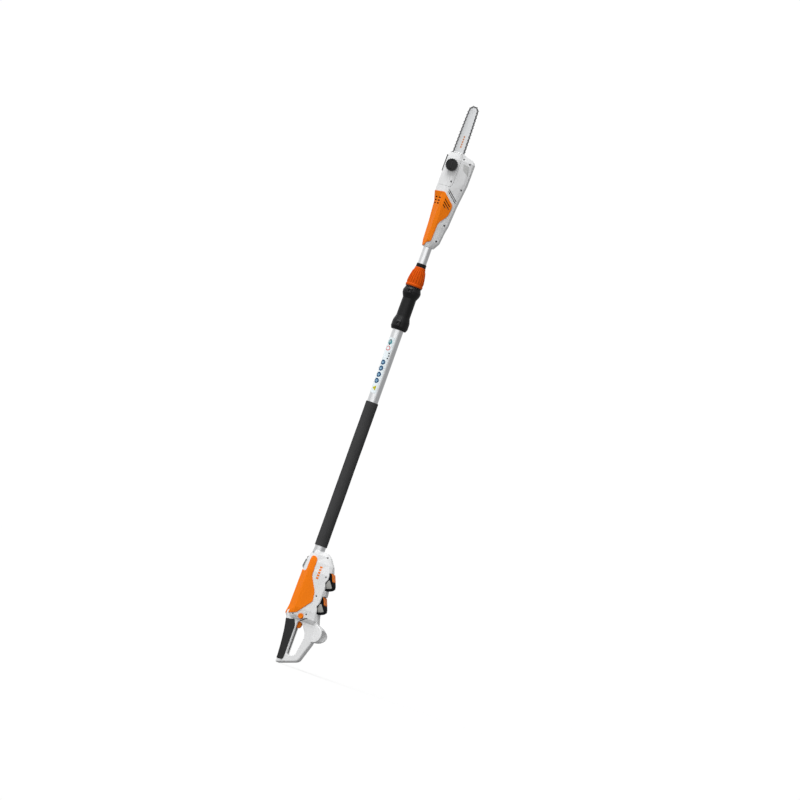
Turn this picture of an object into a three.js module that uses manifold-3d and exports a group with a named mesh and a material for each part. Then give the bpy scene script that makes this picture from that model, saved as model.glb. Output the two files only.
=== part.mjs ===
// Telescoping pole saw: a loop handle with two batteries, a two-stage pole and a saw head.
// Frame: millimetres, +Z along the pole from handle to bar tip, +X the underside, -Y the right side.
// The origin lies on the flat foot of the handle, on the pole's axis.
import * as THREE from "three";
import { mergeVertices } from "three/addons/utils/BufferGeometryUtils.js";
import Module from "manifold-3d";

const wasm = await Module();
wasm.setup();

// ---- driving dimensions ----
const GAP = 0.3;
const WALL = 3;
const FOOT_ANGLE = 18.8 * Math.PI / 180;
const FOOT_SLOPE = Math.tan(FOOT_ANGLE);
const OUTER_TUBE = { outer: 20, inner: 17.9, low: 330, top: 1330 };
const INNER_TUBE = { outer: 15.7, inner: 14, low: 620, top: 1640 };
const FOAM = { radius: 22.8, low: 436, top: 978 };
const SLEEVE = { low: 1251, top: 1410, inner: 20.3, lowScrew: 1272, topScrew: 1395 };
const NUT = { low: 1414, top: 1487, narrow: 17.5 };
const COLLAR = { low: 1487.3, top: 1501, radius: 18 };
const LABEL = { low: 1010, top: 1218, edge: 8 };
const BATTERY_PITCH = 88;
const BATTERY_TILT = 23.6 * Math.PI / 180;
const BATTERY = { long: 66, thick: 58, wide: 44, faceX: 92, faceZ: 331, slack: 0.7 };
const halfThick = BATTERY.thick / 2;
const LATCH = { low: -halfThick + 1, high: 1, depth: 5, travel: 3, halfY: 18.5 };
const BAR = { x: -6, y: -16, thick: 1.6, width: 36, tip: 27.4, tipZ: 2089, tailZ: 1824 };
const SPROCKET_Z = 1800;
const KNOB = { x: -6, z: 1867, radius: 22.5 };
const NOSE = { z: 2074, radius: 9 };
const MOTOR = { x: 2, z: 1776, radius: 18 };
const PINION_RADIUS = 6;
// a screw's head, the round hole it sits in and the boss around that hole, as radii
const SCREW = { head: 2.8, seat: 3.2, boss: 5.4 };
// further out along Y than any part, so a cut that reaches it goes right through
const SIDE = 60;

// ---- materials ----
function finish(hex, roughness, metalness = 0) {
  return new THREE.MeshStandardMaterial({ color: hex, roughness, metalness });
}
const WHITE = finish(0xe9e9ea, 0.45);
const ORANGE = finish(0xf2740a, 0.45);
const BLACK = finish(0x232426, 0.6);
const RUBBER = finish(0x1b1c1d, 0.85);
const ALUMINIUM = finish(0xd4d6d8, 0.35, 1);
const STEEL = finish(0xb8bbbd, 0.35, 1);
const CHAIN = finish(0x6d7072, 0.4, 1);
const GREY = finish(0xb4b5b3, 0.5);
const COPPER = finish(0xb87333, 0.4, 1);
const TANK = finish(0xdfe0dc, 0.3);
const BOARD = finish(0x2d5a3a, 0.5);

// ---- solids ----
function solid(source) {
  const geometry = source.index ? source.toNonIndexed() : source.clone();
  const bare = new THREE.BufferGeometry();
  bare.setAttribute("position", geometry.getAttribute("position"));
  const merged = mergeVertices(bare, 1e-4);
  const index = merged.index.array;
  const kept = [];
  for (let i = 0; i < index.length; i += 3) {
    const [a, b, c] = [index[i], index[i + 1], index[i + 2]];
    if (a !== b && b !== c && c !== a) kept.push(a, b, c);
  }
  return new wasm.Manifold(new wasm.Mesh({
    numProp: 3,
    vertProperties: new Float32Array(merged.getAttribute("position").array),
    triVerts: new Uint32Array(kept),
  }));
}

function box(x0, x1, y0, y1, z0, z1) {
  const geometry = new THREE.BoxGeometry(x1 - x0, y1 - y0, z1 - z0);
  geometry.translate((x0 + x1) / 2, (y0 + y1) / 2, (z0 + z1) / 2);
  return solid(geometry);
}

// a solid of revolution about +Z from [radius, z] pairs that run round the section
function turned(profile, segments = 28) {
  const points = profile.map(([r, z]) => new THREE.Vector2(r, z));
  const geometry = new THREE.LatheGeometry(points, segments);
  geometry.rotateX(Math.PI / 2);
  return solid(geometry);
}

function ring(outer, inner, low, top, segments = 28) {
  return turned([[inner, low], [outer, low], [outer, top], [inner, top], [inner, low]], segments);
}

// a round bar between two points
function rod(from, to, radius, segments = 16) {
  const a = new THREE.Vector3(...from);
  const b = new THREE.Vector3(...to);
  const geometry = new THREE.CylinderGeometry(radius, radius, a.distanceTo(b), segments);
  const turn = new THREE.Quaternion().setFromUnitVectors(
    new THREE.Vector3(0, 1, 0), b.clone().sub(a).normalize());
  geometry.applyQuaternion(turn);
  const middle = a.add(b).multiplyScalar(0.5);
  geometry.translate(middle.x, middle.y, middle.z);
  return solid(geometry);
}

// an outline of [x, z] points with every corner rounded
function outline(points, round = 0) {
  const shape = new THREE.Shape();
  const count = points.length;
  for (let i = 0; i < count; i++) {
    const here = new THREE.Vector2(...points[i]);
    const before = new THREE.Vector2(...points[(i + count - 1) % count]);
    const after = new THREE.Vector2(...points[(i + 1) % count]);
    const reach = Math.min(round, here.distanceTo(before) / 2.2, here.distanceTo(after) / 2.2);
    const start = here.clone().add(before.sub(here).setLength(reach));
    const end = here.clone().add(after.sub(here).setLength(reach));
    if (i === 0) shape.moveTo(start.x, start.y);
    else shape.lineTo(start.x, start.y);
    if (round > 0) shape.quadraticCurveTo(here.x, here.y, end.x, end.y);
  }
  shape.closePath();
  return shape;
}

// every corner of a closed outline moved outwards by grow, along the bisector of its two sides
function offset(points, grow) {
  const count = points.length;
  return points.map((here, i) => {
    const first = here.clone().sub(points[(i + count - 1) % count]).normalize();
    const second = points[(i + 1) % count].clone().sub(here).normalize();
    const out = new THREE.Vector2(first.y + second.y, -first.x - second.x).normalize();
    const spread = Math.max(0.5, out.x * first.y - out.y * first.x);
    return here.clone().addScaledVector(out, grow / spread);
  });
}

// an XZ outline carried from y0 to y1; edge rounds the two rims, inset shrinks the whole outline
function prism(shape, y0, y1, edge = 0, inset = 0) {
  let flat = shape.getPoints(3).filter((p, i, all) => p.distanceTo(all[(i + 1) % all.length]) > 0.01);
  if (THREE.ShapeUtils.isClockWise(flat)) flat = flat.reverse();
  const rims = edge > 0
    ? [[y0, -edge], [y0 + edge * 0.3, -edge * 0.3], [y0 + edge, 0],
      [y1 - edge, 0], [y1 - edge * 0.3, -edge * 0.3], [y1, -edge]]
    : [[y0, 0], [y1, 0]];
  const layers = rims.map(([, grow]) => offset(flat, grow - inset));
  const positions = layers.flatMap((layer, k) => layer.flatMap((p) => [p.x, rims[k][0], p.y]));
  const count = flat.length;
  const triangles = [];
  for (let k = 0; k + 1 < layers.length; k++) {
    for (let i = 0; i < count; i++) {
      const [a, b] = [k * count + i, k * count + (i + 1) % count];
      triangles.push(a, a + count, b + count, a, b + count, b);
    }
  }
  const top = (layers.length - 1) * count;
  for (const [a, b, c] of THREE.ShapeUtils.triangulateShape(flat, [])) {
    triangles.push(a, b, c, top + a, top + c, top + b);
  }
  return new wasm.Manifold(new wasm.Mesh({
    numProp: 3, vertProperties: new Float32Array(positions), triVerts: new Uint32Array(triangles),
  }));
}

// a body through rings of [x, y] points, one ring at each height z
function loft(rings) {
  const count = rings[0].points.length;
  const positions = [];
  const corner = (k, i) => [...rings[k].points[i % count], rings[k].z];
  const triangle = (a, b, c) => positions.push(...a, ...b, ...c);
  for (let k = 0; k + 1 < rings.length; k++) {
    for (let i = 0; i < count; i++) {
      triangle(corner(k, i), corner(k, i + 1), corner(k + 1, i + 1));
      triangle(corner(k, i), corner(k + 1, i + 1), corner(k + 1, i));
    }
  }
  const last = rings.length - 1;
  for (let i = 1; i + 1 < count; i++) {
    triangle(corner(0, 0), corner(0, i + 1), corner(0, i));
    triangle(corner(last, 0), corner(last, i), corner(last, i + 1));
  }
  const geometry = new THREE.BufferGeometry();
  geometry.setAttribute("position", new THREE.Float32BufferAttribute(positions, 3));
  return solid(geometry);
}

// the ridged housing section: widest across Y at x = ridge, narrower at its top and underside
function ridged({ left, right, half, top, under, ridge = 2 }, grow = 0) {
  const [l, r, h] = [left - grow, right + grow, half + grow];
  const [t, u] = [top + grow, under + grow];
  const cut = Math.min(10, (r - l) / 6);
  const side = [[r, u * 0.55], [r - cut, u], [ridge + 8, h], [ridge - 6, h], [l + cut, t], [l, t * 0.55]];
  const mirrored = side.map(([x, y]) => [x, -y]).reverse();
  return [...side, ...mirrored];
}

function housing(sections, grow = 0) {
  return loft(sections.map((section) => ({ z: section.z, points: ridged(section, grow) })));
}

function minus(body, ...cuts) {
  return cuts.reduce((left, cut) => left.subtract(cut), body);
}

function joined(body, ...more) {
  return more.reduce((sum, next) => sum.add(next), body);
}

function mesh(name, body, material) {
  const raw = body.getMesh();
  const geometry = new THREE.BufferGeometry();
  geometry.setAttribute("position", new THREE.BufferAttribute(new Float32Array(raw.vertProperties), 3));
  geometry.setIndex(new THREE.BufferAttribute(new Uint32Array(raw.triVerts), 1));
  geometry.computeVertexNormals();
  const made = new THREE.Mesh(geometry, material);
  made.name = name;
  return made;
}

// everything on one side of the parting plane y = 0, between two heights
const FAR = 400;
const rightHalf = (z0, z1) => box(-FAR, FAR, -FAR, -GAP / 2, z0, z1);
const leftHalf = (z0, z1) => box(-FAR, FAR, GAP / 2, FAR, z0, z1);
const footZ = (x) => x * FOOT_SLOPE;

// ---- rear handle housing ----
const HANDLE_SECTIONS = [
  { z: 166, left: -34, right: 88, half: 20, top: 13, under: 19 },
  { z: 178, left: -38, right: 88, half: 27, top: 13, under: 25 },
  { z: 206, left: -33, right: 84, half: 30, top: 15, under: 27 },
  { z: 345, left: -31, right: 84, half: 31, top: 15, under: 26 },
  { z: 380, left: -29, right: 72, half: 29, top: 15, under: 22 },
  { z: 406, left: -23, right: 54, half: 26, top: 15, under: 19 },
  { z: 419, left: -19, right: 38, half: 23, top: 17, under: 17 },
];
const LOOP_OUTLINE = [
  [-12, footZ(-12)], [69, footZ(69)], [80, 58], [95, 102], [93, 168], [82, 202],
  [-20, 206], [-36, 178], [-27, 158], [-19, 118], [-13, 66], [-10, 18],
];
const HAND_OPENING = [[19, 34], [50, 41], [62, 112], [57, 130], [46, 144], [37, 157], [24, 162], [19, 158]];
const GUARD_OUTLINE = [[86, 172], [106, 164], [120, 152], [127, 139], [123, 122], [110, 109], [88, 104]];
const UNDERSIDE = [
  [-80, 130], [100, 130], [92, 168], [84, 192], [80, 207], [70, 230], [84, 262], [86, 274],
  [80, 295], [70, 318], [84, 350], [86, 358], [86, 430], [-80, 430],
];

function loopBody(inset = 0) {
  const half = 17 - inset;
  const loop = prism(outline(LOOP_OUTLINE, 12), -half, half, 5, inset);
  return loop.subtract(prism(outline(HAND_OPENING, 10), -40, 40, 0, -inset));
}

function handleBody() {
  return housing(HANDLE_SECTIONS).intersect(prism(outline(UNDERSIDE), -SIDE, SIDE));
}

function guard() {
  const full = prism(outline(GUARD_OUTLINE, 8), -42, 42, 4);
  const scoop = new THREE.SphereGeometry(1, 20, 12);
  scoop.scale(27, 34, 27);
  scoop.translate(132, 0, 137);
  const flare = loft([90, 180].map((z) => ({
    z, points: [[82, -12], [128, -40], [128, 40], [82, 12]] })));
  return minus(full.intersect(flare), solid(scoop));
}

// a battery lies tilted in the XZ plane; along runs out of its bay, down runs across it
const OUT = new THREE.Vector3(Math.cos(BATTERY_TILT), 0, Math.sin(BATTERY_TILT));
const ACROSS = new THREE.Vector3(Math.sin(BATTERY_TILT), 0, -Math.cos(BATTERY_TILT));

function batteryPoint(index, out, across, y = 0) {
  const x = BATTERY.faceX + out * OUT.x + across * ACROSS.x;
  const z = BATTERY.faceZ - index * BATTERY_PITCH + out * OUT.z + across * ACROSS.z;
  return [x, y, z];
}

function batteryBlock(index, out0, out1, across0, across1, halfY, round = 0) {
  const corners = [[out0, across0], [out0, across1], [out1, across1], [out1, across0]];
  const flat = corners.map(([o, a]) => batteryPoint(index, o, a)).map(([x, , z]) => [x, z]);
  return prism(outline(flat, round), -halfY, halfY, round / 3);
}

function bay(index) {
  const reach = halfThick + BATTERY.slack;
  return batteryBlock(index, -BATTERY.long - 2, 40, -reach, reach, BATTERY.wide / 2 + BATTERY.slack);
}

function battery(index) {
  const corners = [[-BATTERY.long, -halfThick], [-BATTERY.long, halfThick], [-12, halfThick],
    [-3, halfThick - 5], [0, halfThick - 14], [0, -halfThick]];
  const flat = corners.map(([o, a]) => batteryPoint(index, o, a)).map(([x, , z]) => [x, z]);
  const body = prism(outline(flat, 6), -BATTERY.wide / 2, BATTERY.wide / 2, 2);
  const deep = -LATCH.depth - LATCH.travel - 1;
  const seat = batteryBlock(index, deep, 3, LATCH.low - 8, LATCH.high + 0.5, LATCH.halfY + 0.5);
  return body.subtract(seat);
}

function batteryLatch(index) {
  return batteryBlock(index, -LATCH.depth, 1.2, LATCH.low, LATCH.high, LATCH.halfY, 3);
}

function terminals(index) {
  return batteryBlock(index, -BATTERY.long - 9, -BATTERY.long - 3, -14, 14, 14);
}

// x, z and the depth in y of the seat of each screw
const SCREW_SPOTS = [[45, 404, -13], [66, 338, -25], [55, 264, -14], [-6, 179, -13], [43, 191, -24.2]];
const TRIGGER_SLOT = [[8, 134], [34, 134], [36, 166], [8, 166]];
const REAR_COVER = [
  [-60, 172], [-30, 171], [-22, 178], [-8, 182], [8, 188], [23, 208], [51, 243], [45, 278],
  [17, 328], [15, 388], [8, 397], [-8, 397], [-13, 388], [-14, 342], [-20, 336], [-60, 348],
];
const LOCKOUT = { x: 26, z: 180, radius: 9.2 };

function handleShell() {
  const inside = joined(
    housing(HANDLE_SECTIONS.map((s) => ({ ...s, z: s.z < 170 ? 171 : Math.min(s.z, 414) })), -WALL)
      .intersect(prism(outline(UNDERSIDE), -SIDE, SIDE, 0, WALL)),
    loopBody(WALL));
  const outside = joined(handleBody(), loopBody(), guard());
  const bosses = SCREW_SPOTS.map(([x, z, seat]) => rod([x, -SIDE, z], [x, seat + 2, z], SCREW.boss, 14));
  const filled = joined(...bosses).intersect(outside);
  const cuts = [bay(0), bay(1),
    rod([0, 0, 300], [0, 0, 440], OUTER_TUBE.outer + GAP, 28),
    prism(outline(TRIGGER_SLOT), -7, 7),
    rod([LOCKOUT.x, -40, LOCKOUT.z], [LOCKOUT.x, 40, LOCKOUT.z], LOCKOUT.radius + 0.5, 20),
    box(16, 26, -1.9, 1.9, 24, 140)];
  for (const [x, z, seat] of SCREW_SPOTS) cuts.push(rod([x, -SIDE, z], [x, seat, z], SCREW.seat, 12));
  return minus(joined(minus(outside, inside), filled), ...cuts);
}

function rearCover() {
  const skin = minus(housing(HANDLE_SECTIONS, 1.8), housing(HANDLE_SECTIONS, GAP));
  const clear = minus(skin, loopBody(), rod([0, 0, 380], [0, 0, 440], 21, 28));
  return clear.intersect(prism(outline(REAR_COVER, 7), -SIDE, SIDE));
}

function gripPad() {
  const shape = outline(LOOP_OUTLINE, 12);
  const outer = prism(shape, -18.8, 18.8, 6, -1.8);
  const inner = prism(shape, -17.3, 17.3, 5, -GAP);
  const reach = outline([[-60, 12], [12, 14], [15, 24], [15, 142], [5, 165], [-5, 160], [-60, 152]], 6);
  const above = housing(HANDLE_SECTIONS, GAP);
  return minus(outer, inner, above).intersect(prism(reach, -40, 40));
}

function seamStrip() {
  return box(17.5, 20.4, -1.5, 1.5, 26, 134);
}

function strapEyelet() {
  const loop = prism(outline([[-40, 350], [-30.8, 340], [-26, 392], [-33, 388]], 5), -6, 6, 1);
  const slot = prism(outline([[-37, 352], [-34, 348], [-31, 384], [-34, 383]], 1), -8, 8);
  const stalk = box(-36, -25, -4, 4, 352, 370);
  return joined(minus(loop, slot, housing(HANDLE_SECTIONS, GAP)), stalk);
}

function trigger() {
  const blade = outline([[10, 137], [26, 136], [31.5, 142], [33, 152], [30, 163], [10, 163]], 4);
  return prism(blade, -6.2, 6.2, 1.5);
}

function handleParts() {
  const shell = handleShell();
  const eyelet = strapEyelet();
  const cut = minus(shell, box(-37, -24, -4.3, 4.3, 351.7, 370.3), box(9, 36, -6.8, 6.8, 134, 168));
  const rear = minus(rearCover(), box(-50, -20, -6, 6, 334, 372));
  const tongue = (gap) => box(-8 - gap, 8 + gap, -1, 6 + gap, -10, 16 + gap);
  const parts = [
    mesh("handle_shell_right", cut.intersect(joined(rightHalf(-20, 440), tongue(0))), WHITE),
    mesh("handle_shell_left", minus(cut.intersect(leftHalf(-20, 440)), tongue(GAP)), WHITE),
    mesh("rear_cover", rear, ORANGE),
    mesh("grip_pad", gripPad(), BLACK),
    mesh("grip_seam_strip", seamStrip(), BLACK),
    mesh("strap_eyelet", eyelet, GREY),
    mesh("trigger", trigger(), ORANGE),
    mesh("trigger_switch", box(-12, 5.5, -6, 6, 134, 156), BLACK),
    mesh("lockout_button",
      rod([LOCKOUT.x, -31, LOCKOUT.z], [LOCKOUT.x, 24, LOCKOUT.z], LOCKOUT.radius, 20), ORANGE),
    mesh("control_board", box(-20, -18, -9, 9, 220, 290), BOARD),
  ];
  SCREW_SPOTS.forEach(([x, z, seat], i) => {
    const head = rod([x, seat - 1.6, z], [x, seat - GAP, z], SCREW.head, 12);
    parts.push(mesh(`handle_screw_${i + 1}`, head, STEEL));
  });
  ["upper", "lower"].forEach((place, i) => {
    parts.push(mesh(`battery_${place}`, battery(i), BLACK));
    parts.push(mesh(`battery_latch_${place}`, batteryLatch(i), ORANGE));
    parts.push(mesh(`battery_terminals_${place}`, terminals(i), COPPER));
  });
  return parts;
}

// ---- pole ----
function clampSleeve() {
  const { low, top, inner } = SLEEVE;
  const body = turned([[inner, low], [27, low], [31.5, low + 11], [31, low + 33], [25.5, low + 51],
    [25, top - 40], [32, top - 25], [33.2, top - 14], [28, top], [inner, top], [inner, low]]);
  const ears = joined(box(-9, 9, -34, 34, 1262, 1282), box(-9, 9, -35, 35, 1386, 1404));
  const bore = rod([0, 0, low - 10], [0, 0, top + 10], inner, 28);
  const holes = [SLEEVE.lowScrew, SLEEVE.topScrew].map((z) => rod([0, -50, z], [0, -24.5, z], 4, 14));
  return minus(joined(body, ears), bore, ...holes);
}

const sleeveScrew = (z) => rod([0, -29.5, z], [0, -24.8, z], 3.4, 14);

function lockNut() {
  const profile = [[17.2, NUT.low], [29.6, NUT.low], [31.2, NUT.low + 6], [30.2, NUT.low + 10],
    [28.8, NUT.low + 32], [25.2, NUT.low + 50], [21.4, NUT.top - 12], [NUT.narrow + 1.5, NUT.top],
    [17.2, NUT.top], [17.2, NUT.low]];
  const body = turned(profile, 36);
  const seat = turned([[0, 1400], [24.6, 1400], [24.6, 1452], [18.5, 1462], [0, 1462]], 28);
  return body.subtract(seat);
}

function poleParts() {
  const sleeve = clampSleeve();
  const outer = ring(OUTER_TUBE.outer, OUTER_TUBE.inner, OUTER_TUBE.low, OUTER_TUBE.top);
  const inner = ring(INNER_TUBE.outer, INNER_TUBE.inner, INNER_TUBE.low, INNER_TUBE.top);
  const collet = minus(turned([[16, 1411], [24, 1411], [24, 1448], [18, 1459], [16, 1459], [16, 1411]], 28),
    box(15, 30, -1, 1, 1400, 1470));
  const label = minus(ring(OUTER_TUBE.outer + 0.6, OUTER_TUBE.outer + GAP, LABEL.low, LABEL.top),
    box(-40, 40, -1, 40, 990, 1230), box(LABEL.edge, 40, -40, 40, 990, 1230));
  return {
    fixed: [
      mesh("outer_tube", outer, ALUMINIUM),
      mesh("foam_grip", ring(FOAM.radius, OUTER_TUBE.outer + GAP, FOAM.low, FOAM.top, 24), RUBBER),
      mesh("tube_label", label, WHITE),
      mesh("clamp_sleeve_front", sleeve.intersect(rightHalf(1200, 1450)), BLACK),
      mesh("clamp_sleeve_back", sleeve.intersect(leftHalf(1200, 1450)), BLACK),
      mesh("sleeve_screw_lower", sleeveScrew(SLEEVE.lowScrew), STEEL),
      mesh("sleeve_screw_upper", sleeveScrew(SLEEVE.topScrew), STEEL),
      mesh("collet", collet, BLACK),
      mesh("lock_nut", lockNut(), ORANGE),
      mesh("pole_cable", rod([0, 0, 336], [0, 0, 1636], 6.5, 12), BLACK),
      mesh("nut_collar", ring(COLLAR.radius, 16, COLLAR.low, COLLAR.top), BLACK),
    ],
    sliding: [
      mesh("inner_tube", inner, ALUMINIUM),
      mesh("guide_bush", ring(17.6, 14, 590, INNER_TUBE.low - GAP), BLACK),
    ],
  };
}

// ---- saw head ----
const HEAD_SECTIONS = [
  { z: 1564, left: -19, right: 20, half: 20, top: 17, under: 16 },
  { z: 1588, left: -23, right: 34, half: 27, top: 17, under: 18 },
  { z: 1632, left: -25, right: 39, half: 30, top: 17, under: 18 },
  { z: 1656, left: -26, right: 44, half: 32, top: 17, under: 18 },
  { z: 1730, left: -32, right: 49, half: 36, top: 18, under: 19 },
  { z: 1768, left: -43, right: 54, half: 36, top: 22, under: 18 },
  { z: 1815, left: -43, right: 60, half: 36, top: 23, under: 18 },
  { z: 1893, left: -42, right: 61, half: 36, top: 23, under: 18 },
  { z: 1918, left: -37, right: 46, half: 33, top: 22, under: 18 },
];
const HEAD_TOP = [[-80, 1550], [80, 1550], [80, 1884], [58, 1901], [46, 1908], [14, 1918], [-80, 1918]];
const HEAD_COVER = [
  [-70, 1764], [-34, 1766], [3, 1769], [38, 1734], [41, 1727], [40, 1706], [36, 1687], [19, 1661],
  [15, 1650], [12, 1586], [-5, 1579], [-9, 1566], [-70, 1566],
];
const SPROCKET_COVER = [[-80, 1790], [14, 1790], [19, 1804], [19, 1898], [14, 1914], [-80, 1914]];
const HEAD_SCREWS = [[25.5, 1899], [50, 1889], [50, 1793], [35.5, 1654], [27, 1592]];
const COVER_SCREW = { x: 10, z: 1810, seat: -28 };
const OIL_CAP = { z: 1846, radius: 9 };
const SCREW_SEAT = -12;
const COVER_SPLIT = -19.5;
const CHAIN_ROOM = [[-27, 1778], [16, 1778], [19, 1846], [19, 1930], [-31, 1930], [-31, 1850]];

function headOuter(grow = 0) {
  return housing(HEAD_SECTIONS, grow).intersect(prism(outline(HEAD_TOP), -SIDE, SIDE));
}

function headShell() {
  const inner = housing(HEAD_SECTIONS.map((s) => ({ ...s, z: Math.max(s.z, 1575) })), -WALL)
    .intersect(prism(outline(HEAD_TOP), -SIDE, SIDE, 0, WALL));
  const chainRoom = prism(outline(CHAIN_ROOM), -24, -11);
  const coverRoom = prism(outline(SPROCKET_COVER), -SIDE, COVER_SPLIT);
  const slots = [0, 7.6].map((shift) => prism(outline([
    [13, 1772 + shift], [13, 1775.4 + shift], [47, 1741.4 + shift], [47, 1738 + shift]]), -SIDE, -8));
  const cuts = [chainRoom, coverRoom, ...slots,
    rod([0, 0, 1555], [0, 0, 1580], INNER_TUBE.outer + GAP, 28),
    rod([46, 0, OIL_CAP.z], [80, 0, OIL_CAP.z], OIL_CAP.radius + 0.6, 24)];
  const bosses = HEAD_SCREWS.map(([x, z]) => rod([x, -SIDE, z], [x, SCREW_SEAT + 2, z], SCREW.boss, 14));
  for (const [x, z] of HEAD_SCREWS) cuts.push(rod([x, -SIDE, z], [x, SCREW_SEAT, z], SCREW.seat, 12));
  return minus(joined(minus(headOuter(), inner), joined(...bosses).intersect(headOuter())), ...cuts);
}

function headCover() {
  const skin = minus(housing(HEAD_SECTIONS, 1.8), housing(HEAD_SECTIONS, GAP));
  const vents = [];
  for (let row = 0; row < 3; row++) {
    const z = 1721 + row * 10.6;
    const far = row === 0 ? 22 : 34;
    for (const [left, right] of [[-30, -23], [-16, -6]]) {
      vents.push(prism(outline([[left, z], [right, z], [right, z + 4.4], [left, z + 4.4]], 1), -SIDE, SIDE));
    }
    const slot = [[11, z + 1], [11, z + 4.5], [far, z + 15.5 - far], [far, z + 12 - far]];
    vents.push(prism(outline(slot, 1), -SIDE, SIDE));
  }
  return minus(skin.intersect(prism(outline(HEAD_COVER, 6), -SIDE, SIDE)), ...vents);
}

function sprocketCover() {
  const region = prism(outline(SPROCKET_COVER, 4), -SIDE, COVER_SPLIT - GAP, 0, GAP);
  const room = housing(HEAD_SECTIONS, -WALL).intersect(box(-31, 19, -60, 0, 1794, 1920));
  const { x, z, seat } = COVER_SCREW;
  const boss = rod([x, -SIDE, z], [x, seat + 2, z], SCREW.boss, 14).intersect(headOuter());
  const knobHole = rod([KNOB.x, -50, KNOB.z], [KNOB.x, -20, KNOB.z], 4.6, 16);
  const screwHole = rod([x, -SIDE, z], [x, seat, z], SCREW.seat, 12);
  return minus(joined(minus(headOuter().intersect(region), room), boss), knobHole, screwHole);
}

// the long outline with an elliptical nose: square at the bar's tail, round the sprocket for the chain
function barOutline(grow, roundTail) {
  const half = BAR.width / 2 + grow;
  const tip = BAR.tip / 2 + grow;
  const tall = BAR.tipZ - NOSE.z + grow;
  const shape = new THREE.Shape();
  if (roundTail) shape.absarc(BAR.x, SPROCKET_Z, 14 + grow, Math.PI, 2 * Math.PI, false);
  else shape.moveTo(BAR.x - half + 4, BAR.tailZ);
  shape.lineTo(BAR.x + half - (roundTail ? 0 : 4), roundTail ? 1845 : BAR.tailZ);
  shape.lineTo(BAR.x + half, 1850);
  shape.lineTo(BAR.x + half, 1930);
  shape.lineTo(BAR.x + tip, NOSE.z);
  shape.absellipse(BAR.x, NOSE.z, tip, tall, 0, Math.PI, false);
  shape.lineTo(BAR.x - half, 1930);
  shape.lineTo(BAR.x - half, 1850);
  shape.closePath();
  return shape;
}

function guideBar() {
  const plate = prism(barOutline(0, false), BAR.y - BAR.thick, BAR.y + BAR.thick);
  const slot = prism(outline([[BAR.x - 4.4, 1845], [BAR.x + 4.4, 1845], [BAR.x + 4.4, 1890],
    [BAR.x - 4.4, 1890]], 4), -40, 10);
  const nose = rod([BAR.x, -40, NOSE.z], [BAR.x, 10, NOSE.z], NOSE.radius + 0.5, 24);
  return minus(plate, slot, nose);
}

function sawChain() {
  const outer = prism(barOutline(5, true), BAR.y - 3, BAR.y + 3, 1);
  const inner = prism(barOutline(0.4, true), BAR.y - 8, BAR.y + 8);
  return outer.subtract(inner);
}

// a toothed wheel in the XZ plane; a bore of 0 leaves it solid
function gear(radius, tooth, teeth, y0, y1, x, z, bore = 0) {
  const shape = new THREE.Shape();
  for (let i = 0; i < teeth; i++) {
    const root = radius - tooth;
    for (const [part, r] of [[-0.25, root], [-0.12, radius], [0.12, radius], [0.25, root]]) {
      const angle = (i + part) * 2 * Math.PI / teeth;
      if (i === 0 && part === -0.25) shape.moveTo(x + r * Math.cos(angle), z + r * Math.sin(angle));
      else shape.lineTo(x + r * Math.cos(angle), z + r * Math.sin(angle));
    }
  }
  shape.closePath();
  const body = prism(shape, y0, y1);
  return bore > 0 ? body.subtract(rod([x, y0 - 1, z], [x, y1 + 1, z], bore, 16)) : body;
}

const SHAFT = { x: BAR.x, z: SPROCKET_Z };

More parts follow.
